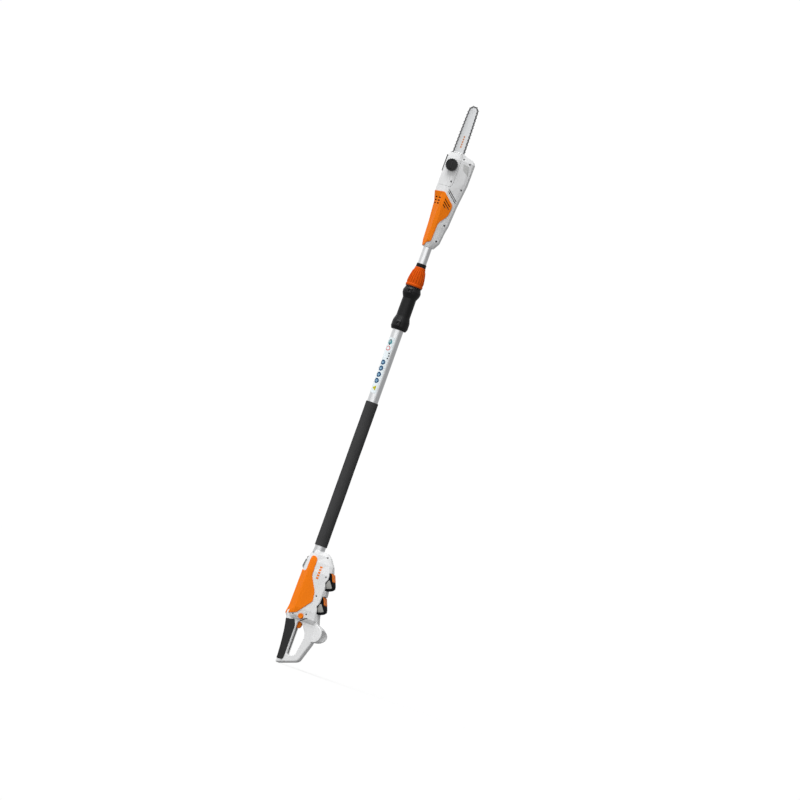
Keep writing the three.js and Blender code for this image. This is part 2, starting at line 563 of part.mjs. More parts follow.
function driveParts() {
  const apart = Math.hypot(MOTOR.x - SHAFT.x, MOTOR.z - SHAFT.z);
  const wheel = apart - PINION_RADIUS - 0.2;
  const knobBody = gear(KNOB.radius, 1.6, 18, -49, -37.4, KNOB.x, KNOB.z)
    .subtract(box(KNOB.x - 3, KNOB.x + 3, -60, -42.6, KNOB.z - 16, KNOB.z + 16));
  return {
    boom: [
      mesh("head_shell_right", headShell().intersect(rightHalf(1500, 1950)), WHITE),
      mesh("head_shell_left", headShell().intersect(leftHalf(1500, 1950)), WHITE),
      mesh("head_cover", headCover(), ORANGE),
      mesh("motor_can", minus(rod([MOTOR.x, 2, MOTOR.z], [MOTOR.x, 24, MOTOR.z], MOTOR.radius, 24),
        rod([MOTOR.x, -1, MOTOR.z], [MOTOR.x, 22, MOTOR.z], MOTOR.radius - 1.5, 24)), STEEL),
      mesh("guide_bar", guideBar(), STEEL),
      mesh("saw_chain", sawChain(), CHAIN),
      mesh("bar_stud", rod([KNOB.x, -37, KNOB.z], [KNOB.x, -8, KNOB.z], 3.6, 14), STEEL),
      mesh("oil_tank", box(24, 44, -10, 12, 1800, 1870), TANK),
      mesh("oil_pump", box(22, 30, -10, 1.5, 1776, 1790), GREY),
      mesh("edge_strip", box(-45.5, -43.3, -12, 12, 1841, 1902), BLACK),
    ],
    rotor: [
      mesh("motor_rotor", rod([MOTOR.x, 4, MOTOR.z], [MOTOR.x, 20, MOTOR.z], MOTOR.radius - 4, 20), COPPER),
      mesh("motor_pinion", gear(PINION_RADIUS, 1.6, 10, -7, 3.7, MOTOR.x, MOTOR.z), STEEL),
    ],
    drive: [
      mesh("drive_gear", gear(wheel, 1.6, 32, -6, -1, SHAFT.x, SHAFT.z, 4.2), STEEL),
      mesh("drive_shaft", rod([SHAFT.x, -26, SHAFT.z], [SHAFT.x, 12, SHAFT.z], 4, 16), STEEL),
      mesh("chain_sprocket", gear(13, 3, 7, -18.4, -13.6, SHAFT.x, SHAFT.z, 4.2), STEEL),
    ],
    nose: [mesh("nose_sprocket", gear(NOSE.radius, 2, 9, -17, -15, BAR.x, NOSE.z), STEEL)],
    cover: [
      mesh("sprocket_cover", sprocketCover(), WHITE),
      mesh("cover_screw", rod([COVER_SCREW.x, COVER_SCREW.seat - 3, COVER_SCREW.z],
        [COVER_SCREW.x, COVER_SCREW.seat - GAP, COVER_SCREW.z], SCREW.head, 12), STEEL),
    ],
    knob: [mesh("tension_knob", knobBody, BLACK)],
    wing: [mesh("knob_wing",
      box(KNOB.x - 2.6, KNOB.x + 2.6, -49.5, -44.4, KNOB.z - 14.5, KNOB.z + 14.5), BLACK)],
    cap: [mesh("oil_cap", rod([52, 0, OIL_CAP.z], [61.2, 0, OIL_CAP.z], OIL_CAP.radius, 20), WHITE)],
    screws: HEAD_SCREWS.map(([x, z], i) => mesh(`head_screw_${i + 1}`,
      rod([x, SCREW_SEAT - 3, z], [x, SCREW_SEAT - GAP, z], SCREW.head, 12), STEEL)),
  };
}

function poleSaw() {
  const whole = new THREE.Group();
  const pole = poleParts();
  const head = driveParts();
  whole.add(...handleParts(), ...pole.fixed, ...pole.sliding);
  for (const group of Object.values(head)) whole.add(...group);
  return whole;
}

export default poleSaw();
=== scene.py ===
# %% [markdown]
# # A telescoping pole saw
#
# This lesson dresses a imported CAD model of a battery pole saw. The CAD model fixes every place and
# size. Here each part gets a finer surface and a real finish: moulded plastic, anodised tube, foam,
# ground steel, oily chain. The first cell loads the frame and keeps its box, which the finished model
# must stay inside.

# %% Load the frame
import math

import bpy
import bmesh
from mathutils import Matrix, Vector
from mathutils.bvhtree import BVHTree


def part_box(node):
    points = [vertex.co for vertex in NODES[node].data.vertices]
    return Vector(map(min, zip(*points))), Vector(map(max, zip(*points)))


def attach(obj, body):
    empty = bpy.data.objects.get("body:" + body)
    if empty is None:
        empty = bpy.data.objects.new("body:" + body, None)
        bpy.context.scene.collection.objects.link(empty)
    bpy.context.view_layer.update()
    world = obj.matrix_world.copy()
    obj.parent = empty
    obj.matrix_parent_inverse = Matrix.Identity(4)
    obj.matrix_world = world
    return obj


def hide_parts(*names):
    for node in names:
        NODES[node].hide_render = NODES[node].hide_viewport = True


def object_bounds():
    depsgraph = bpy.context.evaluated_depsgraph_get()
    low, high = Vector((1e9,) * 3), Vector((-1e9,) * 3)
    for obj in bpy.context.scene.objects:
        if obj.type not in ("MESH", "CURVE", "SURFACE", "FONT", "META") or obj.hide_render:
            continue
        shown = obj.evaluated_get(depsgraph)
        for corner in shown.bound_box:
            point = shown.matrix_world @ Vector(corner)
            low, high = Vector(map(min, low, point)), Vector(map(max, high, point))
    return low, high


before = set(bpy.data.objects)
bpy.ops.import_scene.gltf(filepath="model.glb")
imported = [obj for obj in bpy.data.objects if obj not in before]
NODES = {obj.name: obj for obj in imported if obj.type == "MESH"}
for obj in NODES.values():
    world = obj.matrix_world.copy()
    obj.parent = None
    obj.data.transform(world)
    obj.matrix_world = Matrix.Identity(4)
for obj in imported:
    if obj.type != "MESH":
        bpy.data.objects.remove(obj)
CAD_BOX = [list(corner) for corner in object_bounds()]
MM = 0.001
print("frame:", len(NODES), "nodes, box", CAD_BOX)

# %% [markdown]
# ## The camera
#
# The tool is seen from its right side, a little round towards the batteries and a little from below,
# from far off with a long lens. The camera is rolled so the pole leans to the right. It comes first, so
# every later choice can be judged through it. The view's width and the offset of its centre are metres
# at the tool.

# %% Camera
VIEW_TURN = math.radians(18)
VIEW_RISE = math.radians(3.0)
LEAN = math.radians(19.7)
DISTANCE = 16.0
VIEW_WIDTH = 2.84
TOOL_MIDDLE = Vector((0, 0, 1.042))
OFF_CENTRE = (0.07668, -0.051475)
SENSOR = 36


def make_camera():
    """A long lens that looks at the middle of the tool, rolled by the pole's lean."""
    forward = Vector((-math.sin(VIEW_TURN) * math.cos(VIEW_RISE), math.cos(VIEW_TURN) * math.cos(VIEW_RISE),
                      math.sin(VIEW_RISE)))
    level = forward.cross(Vector((0, 0, 1))).normalized()
    upright = level.cross(forward)
    right = level * math.cos(LEAN) + upright * math.sin(LEAN)
    up = upright * math.cos(LEAN) - level * math.sin(LEAN)
    aim = TOOL_MIDDLE + right * OFF_CENTRE[0] + up * OFF_CENTRE[1]
    data = bpy.data.cameras.new("camera")
    data.sensor_width = SENSOR
    data.lens = SENSOR * DISTANCE / VIEW_WIDTH
    data.clip_end = 200
    camera = bpy.data.objects.new("camera", data)
    axes = Matrix((right, up, -forward)).transposed()
    camera.matrix_world = Matrix.Translation(aim - forward * DISTANCE) @ axes.to_4x4()
    bpy.context.collection.objects.link(camera)
    bpy.context.scene.camera = camera
    return forward, right, up


LOOK, RIGHT, UP = make_camera()
print("camera looks along", [round(v, 3) for v in LOOK])

# %% [markdown]
# ## Shader maths as Python
#
# A procedural finish is a formula on the surface's own coordinates. Clicking dozens of Math nodes hides
# the formula, so one small class wraps a node's socket and turns `a * 2 + b` into those nodes.

# %% The socket wrapper
class Field:
    """One output socket in a node tree, with arithmetic that adds Math nodes."""

    def __init__(self, tree, socket):
        self.tree, self.socket = tree, socket

    def math(self, operation, *others):
        node = self.tree.nodes.new("ShaderNodeMath")
        node.operation = operation
        for slot, value in zip(node.inputs, (self, *others)):
            plug(self.tree, slot, value)
        return Field(self.tree, node.outputs[0])

    def __add__(self, other):
        return self.math("ADD", other)

    def __radd__(self, other):
        return self.math("ADD", other)

    def __sub__(self, other):
        return self.math("SUBTRACT", other)

    def __rsub__(self, other):
        return (self * -1) + other

    def __mul__(self, other):
        return self.math("MULTIPLY", other)

    def __rmul__(self, other):
        return self.math("MULTIPLY", other)

    def __truediv__(self, other):
        return self.math("DIVIDE", other)

    def __pow__(self, other):
        return self.math("POWER", other)

    def above(self, other):
        return self.math("GREATER_THAN", other)

    def below(self, other):
        return self.math("LESS_THAN", other)

    def size(self):
        return self.math("ABSOLUTE")

    def capped(self):
        return self.math("MAXIMUM", 0.0).math("MINIMUM", 1.0)


def plug(tree, slot, value):
    """Sets or links one input socket."""
    if isinstance(value, Field):
        tree.links.new(value.socket, slot)
    elif slot.type == "RGBA" and len(value) == 3:
        slot.default_value = (*value, 1)
    else:
        slot.default_value = value


# %% The finish builder
class Graph:
    """A node tree with one way of adding a node: its type, its settings, then its inputs by name."""

    def __init__(self, tree):
        self.tree = tree

    def node(self, kind, output=0, settings=None, **inputs):
        made = self.tree.nodes.new(kind)
        for key, value in (settings or {}).items():
            setattr(made, key, value)
        for key, value in inputs.items():
            plug(self.tree, made.inputs[key.replace("_", " ")], value)
        return Field(self.tree, made.outputs[output])


class Finish(Graph):
    """A Principled material whose varying values are Fields."""

    def __init__(self, name, **fixed):
        self.material = bpy.data.materials.new(name)
        self.material.use_nodes = True
        super().__init__(self.material.node_tree)
        self.shader = self.tree.nodes["Principled BSDF"]
        self.set(**fixed)

    def set(self, **values):
        for key, value in values.items():
            plug(self.tree, self.shader.inputs[key.replace("_", " ")], value)
        return self

    def place(self, scale=(1, 1, 1)):
        """Object coordinates in metres, stretched by scale."""
        point = self.node("ShaderNodeTexCoord", "Object")
        return self.node("ShaderNodeMapping", Vector=point, Scale=scale)

    def axes(self):
        split = self.node("ShaderNodeSeparateXYZ", Vector=self.place())
        outputs = split.socket.node.outputs
        return [Field(self.tree, outputs[i]) for i in range(3)]

    def noise(self, scale, detail=2.0, stretch=(1, 1, 1)):
        return self.node("ShaderNodeTexNoise", Vector=self.place(stretch), Scale=scale, Detail=detail)

    def mix(self, factor, first, second):
        made = self.tree.nodes.new("ShaderNodeMix")
        made.data_type = "RGBA"
        plug(self.tree, made.inputs[0], factor)
        plug(self.tree, made.inputs[6], first)
        plug(self.tree, made.inputs[7], second)
        return Field(self.tree, made.outputs[2])

    def bump(self, height, strength, distance=0.0004):
        normal = self.node("ShaderNodeBump", Height=height, Strength=strength, Distance=distance)
        return self.set(Normal=normal)


print("shader helpers ready")

# %% [markdown]
# ## Moulded plastic
#
# The housings are sprayed-texture mouldings: a fine grain that breaks up the highlight, a faint colour
# drift and slightly rougher patches at random. One function makes them in any colour.

# %% Plastic finishes
def plastic(name, colour, roughness=0.42, grain=0.16, drift=0.05, shine=0.35):
    finish = Finish(name, Specular_IOR_Level=shine)
    cloud = finish.noise(9.0, 3.0)
    shade = tuple(channel * (1 - drift) for channel in colour)
    finish.set(Base_Color=finish.mix(cloud, colour, shade))
    finish.set(Roughness=finish.noise(45.0, 3.0) * 0.14 + (roughness - 0.07))
    finish.bump(finish.noise(2600.0, 2.0) + finish.noise(700.0, 2.0) * 0.3, grain)
    return finish.material


WHITE = plastic("white_moulding", (0.72, 0.725, 0.73), 0.38, 0.10, 0.03)
ORANGE = plastic("orange_moulding", (0.86, 0.195, 0.003), 0.42, 0.10, 0.04, 0.1)
NUT_ORANGE = plastic("nut_orange", (0.62, 0.083, 0.002), 0.55, 0.18, 0.08, 0.06)
BLACK = plastic("black_moulding", (0.0065, 0.0067, 0.0075), 0.36, 0.22, 0.25, 0.28)
PACK_BLACK = plastic("pack_black", (0.0060, 0.0068, 0.0085), 0.6, 0.14, 0.2, 0.03)
# Grey moulding for the inner parts; on the strap eyelet this grey is painted shade of its opening.
GREY_AND_EYELET_SHADE = plastic("grey_moulding", (0.33, 0.34, 0.34), 0.5, 0.2, 0.08)
PALE_GREY = plastic("pale_grey_moulding", (0.30, 0.30, 0.285), 0.45, 0.1, 0.06)
TANK = plastic("milky_tank", (0.62, 0.62, 0.58), 0.25, 0.05, 0.06)
BOARD = plastic("circuit_board", (0.02, 0.13, 0.05), 0.35, 0.3, 0.3)
print("plastics:", WHITE.name, ORANGE.name, BLACK.name)

# %% [markdown]
# ## Soft black finishes
#
# The pole's long grip is closed-cell foam: dull, with tiny pits. The pad on the handle is a soft rubber
# with a slight sheen along its crown. Both are nearly black, so their look is all in the bump and the
# roughness.

# %% Foam and rubber
def foam():
    finish = Finish("closed_cell_foam", Specular_IOR_Level=0.0)
    cells = finish.node("ShaderNodeTexVoronoi", "Distance", Vector=finish.place(), Scale=900.0)
    cloud = finish.noise(14.0, 4.0)
    finish.set(Base_Color=finish.mix(cloud, (0.044, 0.044, 0.045), (0.062, 0.062, 0.063)))
    finish.set(Roughness=cells * 0.25 + 0.66)
    finish.bump(cells + finish.noise(350.0, 3.0) * 0.8, 0.5, 0.0005)
    return finish.material


def soft_rubber():
    finish = Finish("soft_rubber", Specular_IOR_Level=0.3)
    finish.set(Base_Color=finish.mix(finish.noise(30.0, 3.0), (0.011, 0.011, 0.0115), (0.018, 0.018, 0.019)))
    finish.set(Roughness=finish.noise(80.0, 2.0) * 0.2 + 0.36)
    finish.bump(finish.noise(1800.0, 2.0), 0.25, 0.0003)
    return finish.material


FOAM = foam()
RUBBER = soft_rubber()

# %% [markdown]
# ## Metals
#
# Anodised tube shows fine draw lines along the pole, and ground steel shows scratches along the bar.
# Both are a noise stretched along the way the metal was worked. The small plated and blackened parts
# and the oiled chain keep the noise even, and the chain's is deeper, for the oil in its pits. The
# screws' darkness is partly painted shade of their seats.

# %% Metal finishes
def metal(name, colour, roughness, stretch, streak, depth):
    finish = Finish(name, Metallic=1.0)
    lines = finish.noise(streak, 4.0, stretch)
    wear = finish.noise(22.0, 3.0)
    dark = tuple(channel * 0.86 for channel in colour)
    finish.set(Base_Color=finish.mix((lines * 0.6 + wear * 0.4), dark, colour))
    finish.set(Roughness=lines * 0.10 + wear * 0.08 + (roughness - 0.09))
    finish.bump(lines, depth, 0.0002)
    return finish.material


TUBE = metal("anodised_tube", (0.86, 0.87, 0.885), 0.30, (1, 1, 0.01), 1500.0, 0.10)
STEEL = metal("ground_steel", (0.62, 0.63, 0.64), 0.30, (1, 1, 0.03), 900.0, 0.12)
BRIGHT = metal("zinc_plate", (0.55, 0.56, 0.58), 0.28, (1, 1, 1), 400.0, 0.1)
# Blackened steel for the screws; part of its darkness is painted shade of the screw seats.
BLACKENED_AND_SEAT_SHADE = metal("blackened_steel", (0.10, 0.10, 0.105), 0.42, (1, 1, 1), 500.0, 0.1)
COPPER = metal("contact_metal", (0.72, 0.42, 0.20), 0.30, (1, 1, 1), 300.0, 0.1)
CHAIN = metal("oiled_chain", (0.13, 0.13, 0.135), 0.36, (1, 1, 1), 600.0, 0.35)

# %% [markdown]
# ## Mesh helpers
#
# Three ways of making a piece cover most of the tool: a turned profile for what is round, a prism for
# flat plates, and a refined copy of the CAD solid for the mouldings. All of them end as a plain mesh at
# the origin.

# %% Making and finishing a mesh
def add_object(name, mesh, material, body, replaced=()):
    """Links a mesh, gives it one material, hangs it on its body and hides the CAD parts it replaces."""
    mesh.materials.clear()
    mesh.materials.append(material)
    made = bpy.data.objects.new(name, mesh)
    bpy.context.collection.objects.link(made)
    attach(made, body)
    if replaced:
        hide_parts(*replaced)
    return made


def smooth(mesh, angle=35):
    for face in mesh.polygons:
        face.use_smooth = True
    mesh.set_sharp_from_angle(angle=math.radians(angle))
    return mesh


def cleaned(mesh, merge=0.0, outwards=True):
    """Merges points closer than merge, in metres, and turns the faces outwards."""
    work = bmesh.new()
    work.from_mesh(mesh)
    if merge:
        bmesh.ops.remove_doubles(work, verts=work.verts, dist=merge)
    if outwards:
        bmesh.ops.recalc_face_normals(work, faces=work.faces)
    work.to_mesh(mesh)
    work.free()
    return mesh


def turned(name, profile, steps=96, wobble=None):
    """A solid of revolution about Z from [radius, z] in millimetres; a closed profile repeats no point."""
    mesh = bpy.data.meshes.new(name)
    points = []
    faces = []
    count = len(profile)
    for step in range(steps):
        angle = 2 * math.pi * step / steps
        for radius, z in profile:
            reach = radius + (wobble(angle, radius, z) if wobble else 0)
            points.append((reach * math.cos(angle) * MM, reach * math.sin(angle) * MM, z * MM))
    for step in range(steps):
        after = (step + 1) % steps
        for i in range(count):
            j = (i + 1) % count
            faces.append((step * count + i, after * count + i, after * count + j, step * count + j))
    mesh.from_pydata(points, [], faces)
    return smooth(cleaned(mesh, 1e-7))


def evaluated(source, name):
    """The mesh that an object's modifiers give, with the object removed."""
    graph = bpy.context.evaluated_depsgraph_get()
    mesh = bpy.data.meshes.new_from_object(source.evaluated_get(graph))
    mesh.name = name
    bpy.data.objects.remove(source, do_unlink=True)
    return mesh


def cad_copy(node):
    """The CAD node's own solid as a merged mesh."""
    return cleaned(NODES[node].data.copy(), 1e-6, outwards=False)


# %% Softening a moulding
def moulded(node, voxel=1.4, rounds=4, keep=1.0):
    """A CAD solid remeshed fine, relaxed, and thinned to a share of its faces where it is flat."""
    mesh = cad_copy(node)
    work = bpy.data.objects.new("work", mesh)
    bpy.context.collection.objects.link(work)
    remesh = work.modifiers.new("remesh", "REMESH")
    remesh.mode = "VOXEL"
    remesh.voxel_size = voxel * MM
    relax = work.modifiers.new("relax", "SMOOTH")
    relax.factor = 0.5
    relax.iterations = rounds
    if keep < 1:
        thin = work.modifiers.new("thin", "DECIMATE")
        thin.ratio = keep
    mesh = evaluated(work, node)
    for face in mesh.polygons:
        face.use_smooth = True
    return mesh


def triangles(mesh):
    return sum(len(face.vertices) - 2 for face in mesh.polygons)


def skin(node, material, body, voxel=1.4, rounds=4, keep=1.0):
    piece = add_object(node + "_skin", moulded(node, voxel, rounds, keep), material, body, (node,))
    print(piece.name, triangles(piece.data), "triangles")
    return piece


# %% [markdown]
# ## The housings
#
# The two handle shells, the orange covers and the head shells are injection mouldings: hollow, with
# soft edges everywhere and one crease along the widest line. Modelling each by hand would repeat the
# CAD work, so each one is its CAD solid, remeshed and relaxed. A smaller voxel keeps crisp edges, and
# Decimate then thins the flat parts.

# %% Handle and head mouldings
for side in ("right", "left"):
    skin(f"handle_shell_{side}", WHITE, "root", 1.2, 4, 0.6)
    skin(f"head_shell_{side}", WHITE, "boom", 0.9, 3, 0.4)
skin("rear_cover", ORANGE, "root", 0.9, 4, 0.6)
skin("head_cover", ORANGE, "boom", 0.75, 3, 0.45)
skin("sprocket_cover", WHITE, "cover", 0.7, 2, 0.6)
skin("grip_pad", RUBBER, "root", 0.8, 6, 0.6)
skin("trigger", ORANGE, "trigger", 0.5, 6)
# The strap eyelet's grey is painted shade: it stands in for the shade in its strap opening, and the lug
# itself is white.
skin("strap_eyelet", GREY_AND_EYELET_SHADE, "root", 0.6, 3)
skin("edge_strip", BLACK, "boom", 0.5, 3)
skin("grip_seam_strip", BLACK, "root", 0.4, 3)

# %% [markdown]
# ## The battery packs
#
# Each pack is a smooth black block with an orange release latch on its outer end. The pale plates on
# its flanks come later, once flat plates can be made.

# %% Packs and latches
for place in ("upper", "lower"):
    skin(f"battery_{place}", PACK_BLACK, f"battery_{place}", 0.9, 4)
    skin(f"battery_latch_{place}", ORANGE, f"latch_{place}", 0.5, 3)

# %% [markdown]
# ## The pole
#
# Tubes, foam, nut and collars are all round, so each is a turned profile with a fine step. The tubes
# keep their bore, because the inner one shows its wall when the telescope is drawn out.

# %% Tubes and foam
def round_size(node):
    """A round CAD node's radius, bottom and top in millimetres."""
    low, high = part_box(node)
    return high.x / MM, low.z / MM, high.z / MM


def tube(node, wall, material, body):
    outer, low, top = round_size(node)
    inner = outer - wall
    profile = [(inner, low), (outer - 0.4, low), (outer, low + 0.4), (outer, top - 0.4), (outer - 0.4, top),
               (inner, top)]
    return add_object(node + "_round", turned(node, profile), material, body, (node,))


tube("outer_tube", 2.1, TUBE, "root")
tube("inner_tube", 1.7, TUBE, "boom")


def foam_sleeve():
    radius, low, top = round_size("foam_grip")
    bore, rim, rows = 20.3, 1.6, 60
    corner = (0.2, 0.6, 1.0, 1.57)
    profile = [(bore, low)]
    profile += [(radius - rim + rim * math.sin(a), low + rim - rim * math.cos(a)) for a in corner]
    profile += [(radius, low + 2 + i * (top - low - 4) / rows) for i in range(rows + 1)]
    profile += [(radius - rim + rim * math.sin(a), top - rim + rim * math.cos(a)) for a in reversed(corner)]
    profile += [(bore, top)]

    def swell(angle, reach, z):
        return -0.18 + 0.12 * math.sin(z / 31) + 0.08 * math.sin(3 * angle + z / 47)

    sleeve = add_object("foam_sleeve", turned("foam_sleeve", profile, wobble=swell), FOAM, "root",
                        ("foam_grip",))
    return sleeve


foam_sleeve()
print("tubes and foam, outer radius, bottom and top:", round_size("outer_tube"), round_size("foam_grip"))

# %% [markdown]
# ## Geometry node trees from Python
#
# Screws, ribs and chain links are one small mesh repeated many times. A Geometry Nodes tree says where
# the copies go. Here each tree is written in code, grown once into a plain mesh, and its modifier
# removed, so the finished piece carries no live modifier.

# %% The tree builder
class Grower(Graph):
    """A geometry node tree with named inputs that ends in Realize Instances and Set Material."""

    def __init__(self, name, **inputs):
        super().__init__(bpy.data.node_groups.new(name, "GeometryNodeTree"))
        face = self.tree.interface
        face.new_socket("Geometry", in_out="OUTPUT", socket_type="NodeSocketGeometry")
        for label, kind in {"Geometry": "Geometry", "Material": "Material", **inputs}.items():
            face.new_socket(label, in_out="INPUT", socket_type="NodeSocket" + kind)
        self.start = self.tree.nodes.new("NodeGroupInput")

    def given(self, label):
        return Field(self.tree, self.start.outputs[label])

    def end(self, instances):
        real = self.node("GeometryNodeRealizeInstances", Geometry=instances)
        painted = self.node("GeometryNodeSetMaterial", Geometry=real, Material=self.given("Material"))
        output = self.tree.nodes.new("NodeGroupOutput")
        plug(self.tree, output.inputs["Geometry"], painted)
        return self.tree


def grow(name, tree, data, material, body, slot, replaced=(), **values):
    """Runs a tree on a mesh or curve and adds the plain mesh that comes out."""
    work = bpy.data.objects.new(name + "_work", data)
    bpy.context.collection.objects.link(work)
    nodes = work.modifiers.new("grow", "NODES")
    nodes.node_group = tree
    for item in tree.interface.items_tree:
        if item.in_out == "INPUT" and item.name in {**values, "Material": 0}:
            nodes[item.identifier] = material if item.name == "Material" else values[item.name]
    return add_object(name, smooth(evaluated(work, name)), material, body, replaced)


def template(name, mesh):
    """An object that only serves as the shape to repeat; it is never linked to the scene."""
    return bpy.data.objects.new(name, mesh)


def points_mesh(points):
    mesh = bpy.data.meshes.new("points")
    mesh.from_pydata([tuple(p) for p in points], [], [])
    return mesh


# %% [markdown]
# ## Screws
#
# All the screws are of one kind, in two sizes: a pan head with a six-lobed recess, sunk in a round seat
# and facing the right side. The CAD screws give the places, so the points are read from their boxes.

# %% Screw heads
def faces_right():
    """Turns a shape modelled about Z so that its top looks along -Y."""
    return Matrix.Rotation(math.pi / 2, 4, "X")


def screw_head(radius):
    def lobes(angle, reach, z):
        return 0.16 * radius * math.cos(6 * angle) if 0 < reach < 0.6 * radius else 0

    inner = 0.5 * radius
    profile = [(0, -1.0), (inner, -1.0), (inner, -0.1), (inner + 0.2, 0), (radius - 0.5, 0), (radius, -0.45),
               (radius, -1.3), (0, -1.3)]
    mesh = turned("screw_head", profile, steps=36, wobble=lobes)
    mesh.transform(faces_right())
    return template("screw_head", mesh)


def scatter_tree():
    tree = Grower("scatter", Piece="Object")
    shape = tree.node("GeometryNodeObjectInfo", "Geometry", Object=tree.given("Piece"))
    placed = tree.node("GeometryNodeInstanceOnPoints", Points=tree.given("Geometry"), Instance=shape)
    return tree.end(placed)


SCATTER = scatter_tree()


def screws(name, nodes, radius, body):
    """Screw heads in the places of these CAD screws, flush with their outer ends."""
    heads = []
    for node in nodes:
        low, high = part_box(node)
        heads.append(((low.x + high.x) / 2, low.y, (low.z + high.z) / 2))
    # The heads are blackened steel, darkened further as painted shade: their colour also stands in for the
    # shade of the seats they sit in.
    grow(name, SCATTER, points_mesh(heads), BLACKENED_AND_SEAT_SHADE, body, "steel", nodes, Piece=screw_head(radius))


screws("handle_screws", [f"handle_screw_{i}" for i in range(1, 6)], 2.8, "root")
screws("sleeve_screws", ["sleeve_screw_lower", "sleeve_screw_upper"], 3.4, "root")
screws("head_screws", [f"head_screw_{i}" for i in range(1, 6)], 2.8, "boom")
screws("cover_screw_head", ["cover_screw"], 2.8, "cover")

# %% [markdown]
# ## The locking nut
#
# The nut is a bell: a wide rim at the bottom, a straight wall, then a cone up to the collar. Ribs along
# the wall give the grip. One rib is modelled on the bell's own profile, and the tree turns copies of it
# round the pole.

# %% Nut body, ribs and collar
NUT_RIBS = 20
BELL = [(28.9, 1425), (28.4, 1431), (27.6, 1440), (26.6, 1447), (25.0, 1456), (23.2, 1464), (21.6, 1471),
        (20.4, 1477)]


def nut_body():
    outer = [(29.8, 1414.4), (30.8, 1416), (31.3, 1419), (30.9, 1422.4), (29.6, 1424.2), *BELL, (19.9, 1482),
             (19.3, 1486), (18.8, 1486.8)]
    inner = [(17.3, 1486.8), (18.4, 1462), (24.7, 1450), (24.7, 1415), (26.5, 1414.2)]
    return add_object("nut_bell", turned("nut_bell", outer + inner), NUT_ORANGE, "nut",
                      ("lock_nut",))


def rib_mesh(path, width, height):
    """A rounded rib that stands on [radius, z] points in the XZ plane."""
    mesh = bpy.data.meshes.new("rib")
    section = [(-1, -0.6), (-0.92, 0.3), (-0.6, 0.8), (0, 1), (0.6, 0.8), (0.92, 0.3), (1, -0.6)]
    last = len(path) - 1
    points = []
    for i, (radius, z) in enumerate(path):
        rise = height * min(1, 0.25 + 1.1 * i, 0.25 + 1.1 * (last - i))
        points += [((radius + rise * up) * MM, side * width / 2 * MM, z * MM) for side, up in section]
    count = len(section)
    faces = []
    for i in range(last):
        for k in range(count):
            a, b = i * count + k, i * count + (k + 1) % count
            faces.append((a, b, b + count, a + count))
    faces += [tuple(range(count - 1, -1, -1)), tuple(range(last * count, (last + 1) * count))]
    mesh.from_pydata(points, [], faces)
    return cleaned(mesh)


def ring_tree():
    tree = Grower("ring", Piece="Object", Count="Int")
    count = tree.given("Count")
    points = tree.node("GeometryNodePoints", Count=count)
    turn = tree.node("GeometryNodeInputIndex") / count * (2 * math.pi)
    angles = tree.node("ShaderNodeCombineXYZ", Z=turn)
    shape = tree.node("GeometryNodeObjectInfo", "Geometry", Object=tree.given("Piece"))
    placed = tree.node("GeometryNodeInstanceOnPoints", Points=points, Instance=shape, Rotation=angles)
    return tree.end(placed)


RING = ring_tree()
nut_body()
rib = template("nut_rib", rib_mesh(BELL, 4.6, 2.5))
grow("nut_ribs", RING, points_mesh([]), NUT_ORANGE, "nut", "orange_plastic", Piece=rib, Count=NUT_RIBS)
add_object("collar_ring", turned("collar_ring", [(16, 1487.4), (17.6, 1487.4), (18, 1488), (18, 1499.6),
                                                 (16.8, 1501), (16, 1501)]), BLACK, "nut",
           ("nut_collar",))

# A black ring under the nut as painted shade: it stands in for the shadow in the gap between nut and sleeve.
add_object("nut_seal", turned("nut_seal", [(25.2, 1411.2), (29.2, 1411.2), (29.7, 1411.8), (29.7, 1414.3),
                                           (25.2, 1414.3)]), BLACK, "nut")

# %% [markdown]
# ## The clamp sleeve
#
# Two black shells close round the top of the outer tube. Their waist is where the hand holds the pole
# to turn the nut, so it is left smooth, and the two screws pull the bulges together.

# %% Sleeve shells
for half in ("front", "back"):
    skin(f"clamp_sleeve_{half}", BLACK, "root", 0.9, 5, 0.6)

# %% [markdown]
# ## The tube label
#
# A pale film is wrapped on the tube's right side. Its marks are plain shapes only: rings, dots and a
# triangle. They are drawn by distance formulas on two lengths, the arc round the tube and the height
# along it.

# %% Label shapes
def label_finish():
    finish = Finish("tube_film", Roughness=0.4, Specular_IOR_Level=0.25)
    x, y, z = finish.axes()
    arc = x.math("ARCTAN2", y * -1) * 20.6
    height = z * 1000

    def distance(across, along):
        return ((arc - across) ** 2 + (height - along) ** 2).math("SQRT")

    def ringed(across, along, radius, line):
        return (distance(across, along) - radius).size().below(line)

    colour = finish.mix(finish.noise(40.0, 2.0), (0.79, 0.86, 0.89), (0.75, 0.82, 0.85))
    for along in (1125, 1102.5, 1079, 1056):
        colour = finish.mix(distance(-7.2, along).below(9.4), colour, (0.30, 0.50, 0.66))
        colour = finish.mix(ringed(-7.2, along, 7.0, 2.5), colour, (0.002, 0.055, 0.145))
        colour = finish.mix(distance(-6.4, along + 1).below(2.0), colour, (0.01, 0.10, 0.22))
    colour = finish.mix(ringed(-7.2, 1178, 7.4, 1.5), colour, (0.62, 0.13, 0.12))
    colour = finish.mix(distance(-7.6, 1201).below(9.0), colour, (0.10, 0.30, 0.33))
    colour = finish.mix(distance(-9, 1203).below(3.2), colour, (0.45, 0.55, 0.56))
    for across, along in ((-7, 1209), (-7.4, 1192.5), (4, 1161), (6.5, 1152), (4, 1142)):
        colour = finish.mix(distance(across, along).below(2.9), colour, (0.02, 0.022, 0.025))
    half_height = (arc + 15) * 0.62
    triangle = (height - 1029).size().below(half_height) * arc.below(0.5)
    colour = finish.mix(triangle, colour, (0.50, 0.46, 0.01))
    finish.set(Base_Color=colour)
    return finish.material


